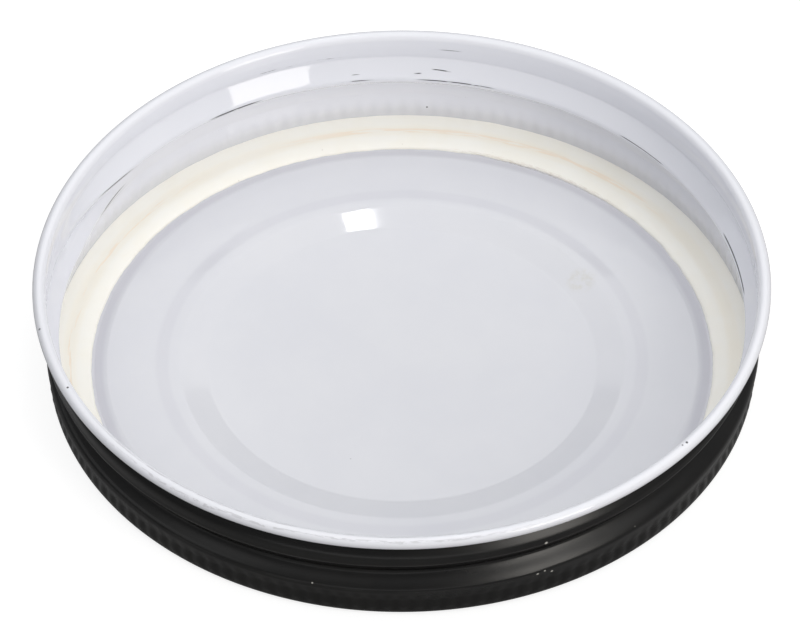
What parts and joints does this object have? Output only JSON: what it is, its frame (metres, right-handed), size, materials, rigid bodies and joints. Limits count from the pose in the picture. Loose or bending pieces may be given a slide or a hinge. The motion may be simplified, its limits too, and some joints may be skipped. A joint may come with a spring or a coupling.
{
  "type": "screw lid for a storage jar",
  "caption": "Metal screw lid for a wide-mouth storage jar, with rolled edge and thread, ridged grip band, stepped panel and flowed-in gasket.",
  "frame": {"origin": "centre of the lid in the plane that it rests on, under the closed panel", "axes": "+Z along the lid's axis, out of its open mouth; +X to the right and +Y away from the camera of the picture"},
  "size_m": [0.0926, 0.0926, 0.0148],
  "materials": {
    "coated_steel": "glossy white enamel inside and over the rolled edge, satin black lacquer on the outside",
    "gasket_compound": "smooth cream sealing compound with a soft sheen"
  },
  "bodies": {
    "root": {"lid_shell": "coated_steel", "sealing_gasket": "gasket_compound"}
  },
  "joints": []
}
